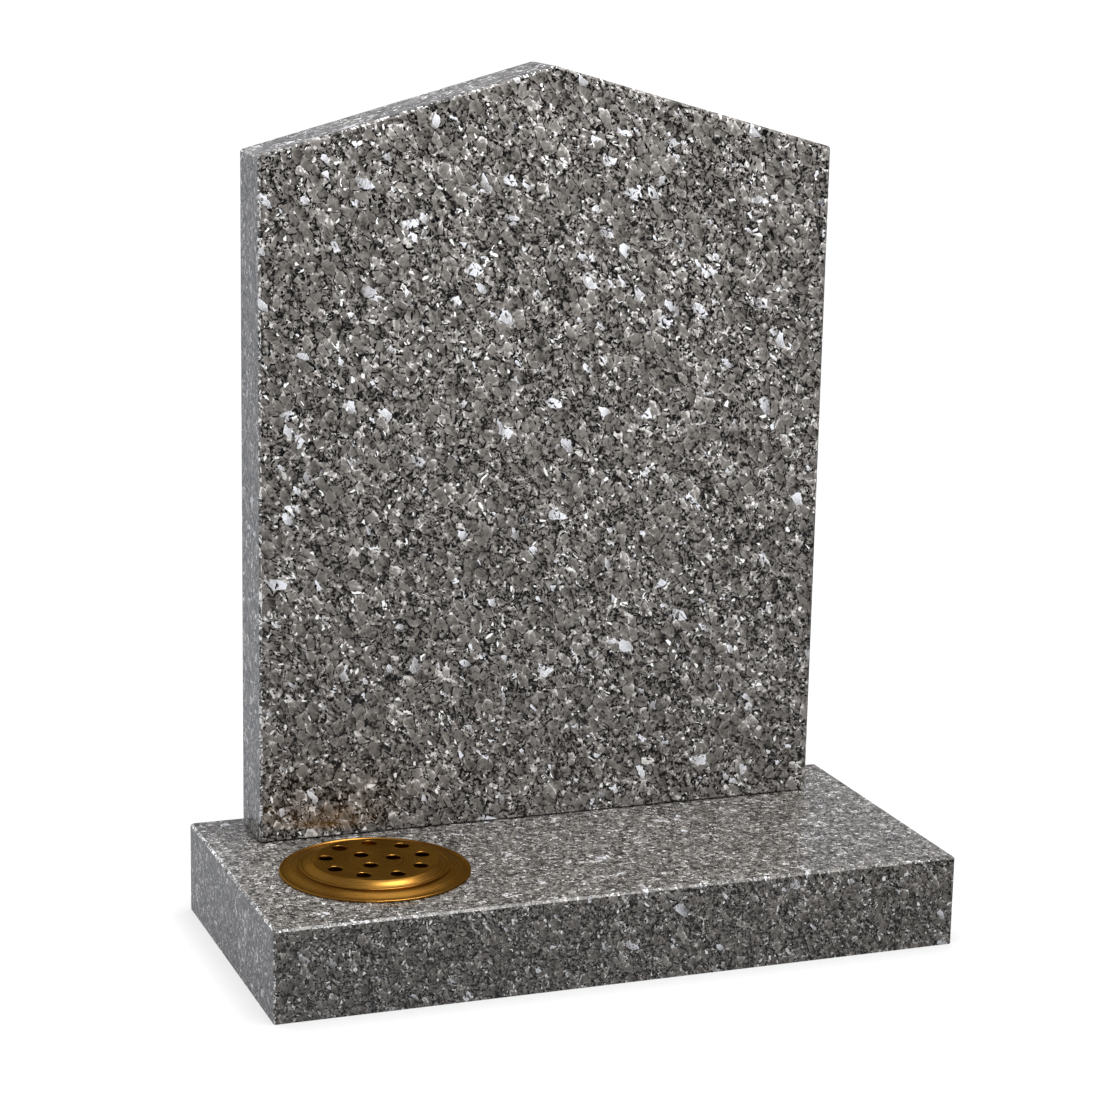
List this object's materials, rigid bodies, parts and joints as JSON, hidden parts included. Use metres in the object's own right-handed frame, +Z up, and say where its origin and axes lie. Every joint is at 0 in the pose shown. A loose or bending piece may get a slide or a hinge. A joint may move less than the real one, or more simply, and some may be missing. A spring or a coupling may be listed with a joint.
{
  "type": "headstone",
  "caption": "Upright granite headstone: a tablet with a pitched top on a flat base slab, with a metal flower container let into the base.",
  "frame": {"origin": "middle of the base's underside", "axes": "+X to the right seen from the front, +Y to the back, +Z up; the front of the tablet faces -Y"},
  "size_m": [0.762, 0.355, 0.9315],
  "materials": {
    "polished_granite": "polished",
    "fixing_compound": "matt, tooled flush",
    "stainless_steel": "drawn round bar, dull",
    "gold_anodised_aluminium": "bright anodised"
  },
  "bodies": {
    "root": {"base": "polished_granite", "tablet": "polished_granite", "setting_bed": "fixing_compound", "dowel_left": "stainless_steel", "dowel_right": "stainless_steel", "flower_container": "gold_anodised_aluminium", "container_lid": "gold_anodised_aluminium"}
  },
  "joints": []
}
